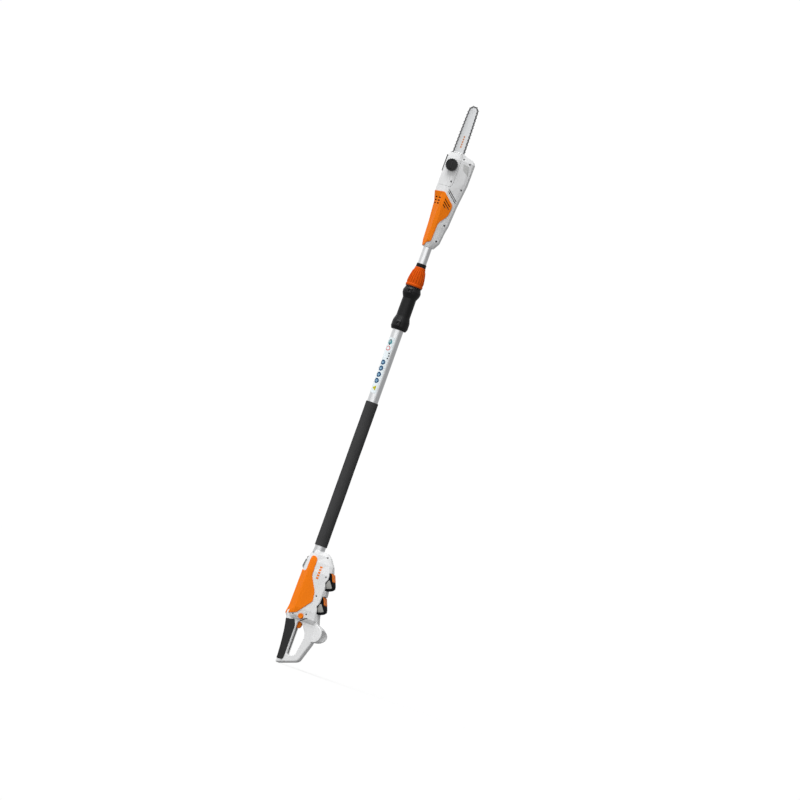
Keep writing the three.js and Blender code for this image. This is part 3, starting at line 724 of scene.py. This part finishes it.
def film(node, material):
    """A thin curved film on the tube, between two angles measured from the right side."""
    start, stop, steps = math.radians(-86), math.radians(22), 40
    rows = [1010 + 208 * i / 60 for i in range(61)]
    mesh = bpy.data.meshes.new(node)
    points = []
    for radius in (20.35, 20.6):
        for z in rows:
            for k in range(steps + 1):
                angle = start + (stop - start) * k / steps
                points.append((radius * math.sin(angle) * MM, -radius * math.cos(angle) * MM, z * MM))
    wide, tall = steps + 1, len(rows)

    def at(layer, row, k):
        return (layer * tall + row) * wide + k

    faces = []
    for layer in (0, 1):
        for row in range(tall - 1):
            for k in range(steps):
                faces.append((at(layer, row, k), at(layer, row, k + 1), at(layer, row + 1, k + 1),
                              at(layer, row + 1, k)))
    for row in range(tall - 1):
        for k in (0, steps):
            faces.append((at(0, row, k), at(1, row, k), at(1, row + 1, k), at(0, row + 1, k)))
    for k in range(steps):
        for row in (0, tall - 1):
            faces.append((at(0, row, k), at(0, row, k + 1), at(1, row, k + 1), at(1, row, k)))
    mesh.from_pydata(points, [], faces)
    return add_object(node + "_film", smooth(cleaned(mesh)), material, "root", (node,))


film("tube_label", label_finish())
print("label wrapped on the tube")

# %% [markdown]
# ## The guide bar
#
# Flat plates start as filled 2-D curves: one loop for the edge and one for each hole. The curve's own
# extrusion and bevel give the thickness and the broken edges. The bar is a laminate, two thin cheeks on
# a narrower core, so a groove runs round it for the chain's drive teeth.

# %% Flat plates from curves
BAR_X, BAR_Y = -6, -16
NOSE_Z, SPROCKET_Z = 2074, 1800


def half_turn(x, z, wide, tall, steps, sign=1):
    """Half an ellipse of [x, z] points, over its centre, or under it where sign is -1."""
    angles = [math.pi * i / steps for i in range(steps + 1)]
    return [(x + sign * wide * math.cos(a), z + sign * tall * math.sin(a)) for a in angles]


def circle(x, z, radius, steps=32):
    return [(x + radius * math.cos(2 * math.pi * i / steps), z + radius * math.sin(2 * math.pi * i / steps))
            for i in range(steps)]


def plate(name, loops, y0, y1, bevel=0.15):
    """A flat plate from [x, z] loops in millimetres, between two depths in y."""
    curve = bpy.data.curves.new(name, "CURVE")
    curve.dimensions = "2D"
    curve.fill_mode = "BOTH"
    curve.extrude = ((y1 - y0) / 2 - bevel) * MM
    curve.bevel_depth = bevel * MM
    curve.offset = -bevel * MM
    curve.bevel_resolution = 1
    for loop in loops:
        spline = curve.splines.new("POLY")
        spline.points.add(len(loop) - 1)
        for point, (x, z) in zip(spline.points, loop):
            point.co = (x * MM, z * MM, 0, 1)
        spline.use_cyclic_u = True
    work = bpy.data.objects.new(name, curve)
    bpy.context.collection.objects.link(work)
    mesh = evaluated(work, name)
    mesh.transform(Matrix.Translation((0, (y0 + y1) / 2 * MM, 0)) @ faces_right())
    return cleaned(mesh, 1e-6)


# %% Bar cheeks and core
BAR_HALF, TAPER, TIP_TALL = 18, 4.3, 15
TAIL_HALF, TAIL_Z, PARALLEL_Z = 14, 1824, 1850
BAR_STEPS = 24


def bar_edge(shrink, tail=True):
    """The bar's edge, shrunk inwards; a square tail, or open for the chain to go round the sprocket."""
    right = []
    for i in range(BAR_STEPS + 1):
        share = i / BAR_STEPS
        right.append((BAR_HALF - TAPER * share ** 2.2 - shrink, PARALLEL_Z + (NOSE_Z - PARALLEL_Z) * share))
    nose = half_turn(0, NOSE_Z, BAR_HALF - TAPER - shrink, TIP_TALL - shrink, BAR_STEPS)[1:-1]
    left = [(-x, z) for x, z in reversed(right)]
    corner = TAIL_HALF - shrink
    foot = [(-corner, TAIL_Z + shrink), (corner, TAIL_Z + shrink)] if tail else []
    return [(BAR_X + x, z) for x, z in right + nose + left + foot]


SLOT_HALF, RIVET_CIRCLE = 4.2, 4.6
SLOT_LOOP = half_turn(BAR_X, 1886, SLOT_HALF, SLOT_HALF, 12)
SLOT_LOOP += half_turn(BAR_X, 1849, SLOT_HALF, SLOT_HALF, 12, -1)
NOSE_RIVETS = [(BAR_X + RIVET_CIRCLE * math.cos(a), NOSE_Z + RIVET_CIRCLE * math.sin(a))
               for a in (0.5, 2.64, 4.71)]


def guide_bar():
    for side, (y0, y1) in {"near": (-17.6, -16.6), "far": (-15.4, -14.4)}.items():
        mesh = plate(f"bar_cheek_{side}", [bar_edge(0), SLOT_LOOP, circle(BAR_X, 1836, 2.2)], y0, y1, 0.2)
        add_object(f"bar_cheek_{side}", smooth(mesh), STEEL, "boom", ("guide_bar",))
    core = plate("bar_core", [bar_edge(4.5), SLOT_LOOP, circle(BAR_X, NOSE_Z, 9.4)], -16.58, -15.42, 0.05)
    add_object("bar_core", smooth(core), STEEL, "boom")
    for i, (x, z) in enumerate(NOSE_RIVETS):
        rivet = plate(f"nose_rivet_{i + 1}", [circle(x, z, 1.6)], -17.85, -14.15, 0.25)
        add_object(f"nose_rivet_{i + 1}", smooth(rivet), BRIGHT, "boom")


guide_bar()
print("bar with", len(NOSE_RIVETS), "nose rivets")

# %% [markdown]
# ## The saw chain
#
# The chain runs round the bar and the sprocket on one closed path. Two kinds of link take turns: a
# cutter with a strap across from it on the outside, and a drive link between, whose tooth drops into
# the groove. Two templates are placed on alternate points of the path, each turned to follow it.

# %% Chain path and links
PITCH = 6.35


def chain_path():
    """The line of the chain's rivets, 2.4 mm outside the bar's edge and round the sprocket."""
    radius = 16.4
    return bar_edge(-2.4, tail=False) + half_turn(BAR_X, SPROCKET_Z, radius, radius, 20, -1)


def chain_curve():
    curve = bpy.data.curves.new("chain_path", "CURVE")
    curve.dimensions = "3D"
    points = chain_path()
    spline = curve.splines.new("POLY")
    spline.points.add(len(points) - 1)
    for point, (x, z) in zip(spline.points, points):
        point.co = (x * MM, BAR_Y * MM, z * MM, 1)
    spline.use_cyclic_u = True
    length = sum(math.dist(a, b) for a, b in zip(points, points[1:] + points[:1]))
    return curve, 2 * round(length / (2 * PITCH))


def joined_mesh(name, meshes):
    whole = bmesh.new()
    for mesh in meshes:
        whole.from_mesh(mesh)
    mesh = bpy.data.meshes.new(name)
    whole.to_mesh(mesh)
    whole.free()
    return mesh


def strap(y0, y1):
    half = PITCH * 0.5
    loop = [(half + 1.9 * math.cos(a), 1.9 * math.sin(a)) for a in (-1.4, -0.7, 0, 0.7, 1.4)]
    loop += [(-half - 1.9 * math.cos(a), 1.9 * math.sin(a)) for a in (1.4, 0.7, 0, -0.7, -1.4)]
    return plate("strap", [loop], y0, y1, 0.1)


def rivets():
    return [plate("rivet", [circle(side * PITCH * 0.5, 0, 1.1, 12)], -2.6, 2.6, 0.15) for side in (-1, 1)]


def cutter_link():
    """Two straps, one of them raised into a cutting tooth with a depth gauge in front."""
    tooth = [(-4.6, -1.7), (4.6, -1.7), (5.0, 1.0), (4.3, 3.2), (3.0, 3.2), (2.4, 0.9), (1.4, 0.9),
             (0.6, 3.9), (-4.2, 3.3), (-5.0, 0.6)]
    return joined_mesh("cutter_link", [plate("tooth", [tooth], -2.3, -1.0, 0.12), strap(1.0, 2.2), *rivets()])


def drive_link():
    tang = [(-4.4, 1.3), (-4.2, -1.2), (-1.4, -2.2), (-0.9, -4.6), (0.9, -5.0), (1.6, -2.2), (4.2, -1.2),
            (4.4, 1.3), (2.0, 1.9), (0, 1.2), (-2.0, 1.9)]
    return plate("drive_link", [tang], -0.55, 0.55, 0.08)


def chain_tree():
    tree = Grower("chain", Outer="Object", Inner="Object", Count="Int")
    points = tree.node("GeometryNodeCurveToPoints", Curve=tree.given("Geometry"), Count=tree.given("Count"))
    along = Field(tree.tree, points.socket.node.outputs["Tangent"])
    follow = {"axis": "X", "pivot_axis": "Y"}
    turn = tree.node("FunctionNodeAlignRotationToVector", settings=follow, Vector=along)
    odd = tree.node("GeometryNodeInputIndex").math("MODULO", 2.0)
    both = tree.tree.nodes.new("GeometryNodeJoinGeometry")
    for label, chosen in (("Outer", odd.above(0.5)), ("Inner", odd.below(0.5))):
        shape = tree.node("GeometryNodeObjectInfo", "Geometry", Object=tree.given(label))
        placed = tree.node("GeometryNodeInstanceOnPoints", Points=points, Selection=chosen, Instance=shape,
                           Rotation=turn)
        plug(tree.tree, both.inputs[0], placed)
    return tree.end(Field(tree.tree, both.outputs[0]))


CHAIN_CURVE, LINKS = chain_curve()
grow("chain_links", chain_tree(), CHAIN_CURVE, CHAIN, "boom", "chain_steel", ("saw_chain",),
     Outer=template("cutter", cutter_link()), Inner=template("drive", drive_link()), Count=LINKS)
print("chain of", LINKS, "links")

# %% [markdown]
# ## Knob, cap and lockout button
#
# The tensioning knob and its folding wing are taken from their CAD solids, which already hold the
# notches. The oil cap and the lockout button are turned shapes, laid on their sides.

# %% Small controls
skin("tension_knob", BLACK, "knob", 0.5, 2)
skin("knob_wing", RUBBER, "wing", 0.4, 3)


def oil_cap():
    def grip(angle, reach, z):
        return 0.25 * math.cos(18 * angle) if reach > 8.6 and z > 56 else 0

    profile = [(0, 52.1), (8.5, 52.1), (8.7, 52.6), (8.7, 56.5), (8.7, 60.4), (8.0, 61.1), (6, 61.1),
               (5.5, 60.4), (0, 60.4)]
    mesh = turned("oil_cap_body", profile, steps=144, wobble=grip)
    mesh.transform(Matrix.Translation((0, 0, 1.846)) @ Matrix.Rotation(math.pi / 2, 4, "Y"))
    return add_object("oil_cap_body", mesh, WHITE, "oil_cap", ("oil_cap",))


def lockout_button():
    profile = [(0, -24), (8.7, -24), (9.2, -23.5), (9.2, 29.6), (8.9, 30.5), (8.2, 31), (6.5, 30.7),
               (0, 30.2)]
    mesh = turned("lockout_barrel", profile, steps=64)
    mesh.transform(Matrix.Translation((0.026, 0, 0.180)) @ faces_right())
    return add_object("lockout_barrel", mesh, ORANGE, "lockout", ("lockout_button",))


oil_cap()
lockout_button()
print("controls done")

# %% [markdown]
# ## Patches that lie on a surface
#
# Some details only follow a housing's skin: the painted shade in the air vents (dark sheets that stand
# in for the shaded inside of the head), the milky oil window, the black trim above the trigger. Each is a
# grid of [x, z] points shot sideways at the finished skin with a ray, then lifted a little along the
# surface normal, and given a thickness so that it is a solid piece.

# %% The patch maker
def skin_tree(name):
    made = bpy.data.objects[name]
    return BVHTree.FromObject(made, bpy.context.evaluated_depsgraph_get())


def quad_rows(corners, count=8):
    """A grid of points inside four [x, z] corners."""
    a, b, c, d = corners
    rows = []
    for i in range(count + 1):
        s = i / count
        start = (a[0] + (d[0] - a[0]) * s, a[1] + (d[1] - a[1]) * s)
        stop = (b[0] + (c[0] - b[0]) * s, b[1] + (c[1] - b[1]) * s)
        run, rise = stop[0] - start[0], stop[1] - start[1]
        rows.append([(start[0] + run * j / count, start[1] + rise * j / count) for j in range(count + 1)])
    return rows


def ribbon_rows(path, width, count=3, fine=6):
    """A grid along a smooth path of [x, z] points, tapering to its ends."""
    dense = []
    for i in range(len(path) - 1):
        p0, p1, p2, p3 = (Vector(path[max(0, min(len(path) - 1, i + k))]) for k in (-1, 0, 1, 2))
        for k in range(fine + (i == len(path) - 2)):
            s = k / fine
            dense.append(0.5 * (2 * p1 + (p2 - p0) * s + (2 * p0 - 5 * p1 + 4 * p2 - p3) * s ** 2
                                + (3 * p1 - p0 - 3 * p2 + p3) * s ** 3))
    rows = []
    for i, point in enumerate(dense):
        along = (dense[min(i + 1, len(dense) - 1)] - dense[max(i - 1, 0)]).normalized()
        across = Vector((-along.y, along.x))
        share = i / (len(dense) - 1)
        half = width / 2 * min(1, 0.35 + 6 * share, 0.35 + 6 * (1 - share))
        rows.append([point + across * half * (2 * j / count - 1) for j in range(count + 1)])
    return rows


def patch(name, rows, target, material, body, side=-1, lift=0.25, thick=0.5):
    """A thin solid on the target's skin; side -1 is seen from the right, 1 from the left."""
    tree = skin_tree(target)
    outer, inner = [], []
    for row in rows:
        for x, z in row:
            hit, normal, _, _ = tree.ray_cast(Vector((x * MM, side * 0.2, z * MM)), Vector((0, -side, 0)))
            if hit is None:
                raise ValueError(f"{name}: no surface at {x:.1f}, {z:.1f}")
            outer.append(hit + normal * lift * MM)
            inner.append(hit + normal * (lift - thick) * MM)
    tall, wide = len(rows), len(rows[0])
    total = tall * wide
    faces = []
    for i in range(tall - 1):
        for j in range(wide - 1):
            a = i * wide + j
            ring = (a, a + 1, a + wide + 1, a + wide)
            faces += [ring, tuple(k + total for k in reversed(ring))]
    rim = list(range(wide)) + [i * wide + wide - 1 for i in range(1, tall)]
    rim += [(tall - 1) * wide + j for j in range(wide - 2, -1, -1)]
    rim += [i * wide for i in range(tall - 2, 0, -1)]
    for k, a in enumerate(rim):
        b = rim[(k + 1) % len(rim)]
        faces.append((b, a, a + total, b + total))
    mesh = bpy.data.meshes.new(name)
    mesh.from_pydata([tuple(p) for p in outer + inner], [], faces)
    return add_object(name, smooth(cleaned(mesh)), material, body)


# %% Painted vent shade, oil window, trim and marks
# The vent patches are painted shade: dark sheets that stand in for the shaded inside of the head behind the
# vent slots.
VENT_PAINTED_SHADE = plastic("vent_mesh", (0.010, 0.006, 0.004), 0.7, 0.3, 0.3, 0.1)
MILKY = plastic("oil_window", (0.50, 0.505, 0.50), 0.3, 0.05, 0.05)
MARK_ORANGE = plastic("mark_orange", (0.86, 0.22, 0.03), 0.4, 0.05, 0.1, 0.2)
BAR_MARK = plastic("bar_mark", (0.55, 0.22, 0.09), 0.4, 0.05, 0.1, 0.2)

VENT_Z, VENT_STEP = 1721, 10.6
for side, word in ((-1, "right"), (1, "left")):
    skin_name = f"head_shell_{word}_skin"
    for row in range(3):
        low = VENT_Z + row * VENT_STEP
        for column, (left, right) in enumerate(((-30.6, -22.4), (-16.6, -5.4))):
            square = ((left, low - 0.6), (right, low - 0.6), (right, low + 5), (left, low + 5))
            patch(f"vent_mesh_{word}_{row}{column}", quad_rows(square, 3), skin_name, VENT_PAINTED_SHADE, "boom",
                  side, 0.14, 0.3)
        far = 22.6 if row == 0 else 34.6
        slant = ((10.4, low + 1), (10.4, low + 5.7), (far, low + 16.7 - far), (far, low + 12 - far))
        patch(f"vent_mesh_{word}_{row}2", quad_rows(slant, 4), skin_name, VENT_PAINTED_SHADE, "boom",
              side, 0.14, 0.3)

WINDOW = ((30, 1884), (50, 1880), (55.5, 1846), (35, 1862))
TRIM_PATH = [(52, 180), (45, 176.5), (38.5, 172), (32, 167), (24.6, 164.4)]
patch("oil_window", quad_rows(WINDOW), "head_shell_right_skin", MILKY, "boom")
patch("trigger_trim", ribbon_rows(TRIM_PATH, 2.8), "handle_shell_right_skin", BLACK, "root",
      -1, 0.3)
for i in range(5):
    low = 322 + i * 10
    block = ((32.5, low), (41.5, low), (41.5, low + 7), (32.5, low + 7))
    patch(f"handle_mark_{i + 1}", quad_rows(block, 4), "handle_shell_right_skin", MARK_ORANGE, "root",
          -1, 0.12, 0.3)
    foot = 1937 + i * 9.4
    block = ((-7.6, foot), (-2.2, foot), (-2.2, foot + 6.6), (-7.6, foot + 6.6))
    patch(f"bar_mark_{i + 1}", quad_rows(block, 2), "bar_cheek_near", BAR_MARK, "boom",
          -1, 0.06, 0.1)
print("patches done")

# %% [markdown]
# ## The batteries' side plates
#
# Each pack has a pale six-cornered plate on both flanks. It is laid out in the pack's own tilted
# directions, out of the bay and across it, and then turned into the shared frame.

# %% Side plates
TILT = math.radians(23.6)
PACK_FACE = (92, 331)
PACK_PITCH = 88
PLATE = [(-25, 9), (-16, -4), (-9, -5), (-2.4, 22), (-5, 25), (-22, 23.5)]


def on_pack(index, out, across):
    """The [x, z] of a point on a pack: out of its bay from the end face, and across it."""
    x = PACK_FACE[0] + out * math.cos(TILT) + across * math.sin(TILT)
    z = PACK_FACE[1] - index * PACK_PITCH + out * math.sin(TILT) - across * math.cos(TILT)
    return (x, z)


for index, place in enumerate(("upper", "lower")):
    outline = [on_pack(index, out, across) for out, across in PLATE]
    for side, word in ((-1, "right"), (1, "left")):
        edges = sorted((side * 21.5, side * 22.4))
        name = f"battery_plate_{place}_{word}"
        mesh = smooth(plate(name, [outline], *edges, 0.2))
        add_object(name, mesh, PALE_GREY, f"battery_{place}")
print("side plates on", index + 1, "packs")

# %% [markdown]
# ## What stays as it is
#
# The works inside the housings keep their CAD shape. Each still gets its own finish, since a cut-away
# or an opened cover would show it.

# %% Finishes for the works inside
INSIDE = [
    (BLACK, "black_plastic", ["trigger_switch", "pole_cable", "guide_bush"]),
    (BOARD, "board", ["control_board"]),
    (COPPER, "contact_metal", ["battery_terminals_upper", "battery_terminals_lower", "motor_rotor"]),
    (GREY_AND_EYELET_SHADE, "grey_plastic", ["collet", "oil_pump"]),
    (BRIGHT, "steel", ["motor_can", "bar_stud", "motor_pinion", "drive_gear", "drive_shaft"]),
    (TANK, "tank_plastic", ["oil_tank"]),
    (STEEL, "steel", ["chain_sprocket", "nose_sprocket"]),
]
for material, slot, nodes in INSIDE:
    for node in nodes:
        NODES[node].data.materials.clear()
        NODES[node].data.materials.append(material)
print(sum(len(nodes) for _, _, nodes in INSIDE), "inner parts finished")

# %% [markdown]
# ## Floor and light
#
# The floor is a wide pale disc just under the foot. It glows a little, for the camera only, so that it
# melts into the white surround and still takes a soft shadow. A broad soft sun comes from above, on the
# left and in front. The surround also lights the tool: brightest towards the front left, darkest to the
# right, and that difference is what draws a bright and a dark band along every tube.

# %% Floor
def make_floor():
    mesh = bpy.data.meshes.new("floor")
    disc = bmesh.new()
    bmesh.ops.create_circle(disc, cap_ends=True, radius=40, segments=96)
    disc.to_mesh(mesh)
    disc.free()
    finish = Finish("pale_floor", Roughness=0.95, Base_Color=(0.24, 0.24, 0.24), Specular_IOR_Level=0.0)
    seen = finish.node("ShaderNodeLightPath", "Is Camera Ray")
    finish.set(Emission_Color=finish.mix(seen * 0.64, (0, 0, 0), (1, 1, 1)), Emission_Strength=1.0)
    mesh.materials.append(finish.material)
    floor = bpy.data.objects.new("floor", mesh)
    floor.location.z = CAD_BOX[0][2] - 0.0005
    bpy.context.collection.objects.link(floor)


# %% Sun and surround
def make_sun():
    data = bpy.data.lights.new("sun", "SUN")
    data.energy = 2.9
    data.angle = math.radians(40)
    sun = bpy.data.objects.new("sun", data)
    came_from = Vector((0, 0, 1.0)) - RIGHT * 0.34 - LOOK * 0.30
    sun.rotation_euler = came_from.to_track_quat("Z", "Y").to_euler()
    bpy.context.collection.objects.link(sun)


def make_surround():
    """White where the camera looks; for light and reflections, bright at the front left, dim on the right."""
    world = bpy.data.worlds.new("studio")
    world.use_nodes = True
    bpy.context.scene.world = world
    studio = Graph(world.node_tree)
    towards = studio.node("ShaderNodeTexCoord", "Generated")
    front = studio.node("ShaderNodeVectorMath", "Value", {"operation": "DOT_PRODUCT"}, Vector=towards)
    plug(studio.tree, front.socket.node.inputs[1], (-RIGHT * 0.35 - LOOK * 0.94).normalized())
    side = studio.node("ShaderNodeVectorMath", "Value", {"operation": "DOT_PRODUCT"}, Vector=towards)
    plug(studio.tree, side.socket.node.inputs[1], RIGHT)
    panel = ((front - 0.70) * 5.0).capped() * 0.5
    level = panel + 0.85 - ((side - 0.35) * 3.0).capped() * 0.47
    seen = studio.node("ShaderNodeLightPath", "Is Camera Ray")
    strength = seen * (1.02 - level) + level
    background = world.node_tree.nodes["Background"]
    background.inputs["Color"].default_value = (1, 1, 1, 1)
    plug(studio.tree, background.inputs["Strength"], strength)
    bpy.context.scene.view_settings.view_transform = "Standard"


make_floor()
make_sun()
make_surround()
print("stage ready")
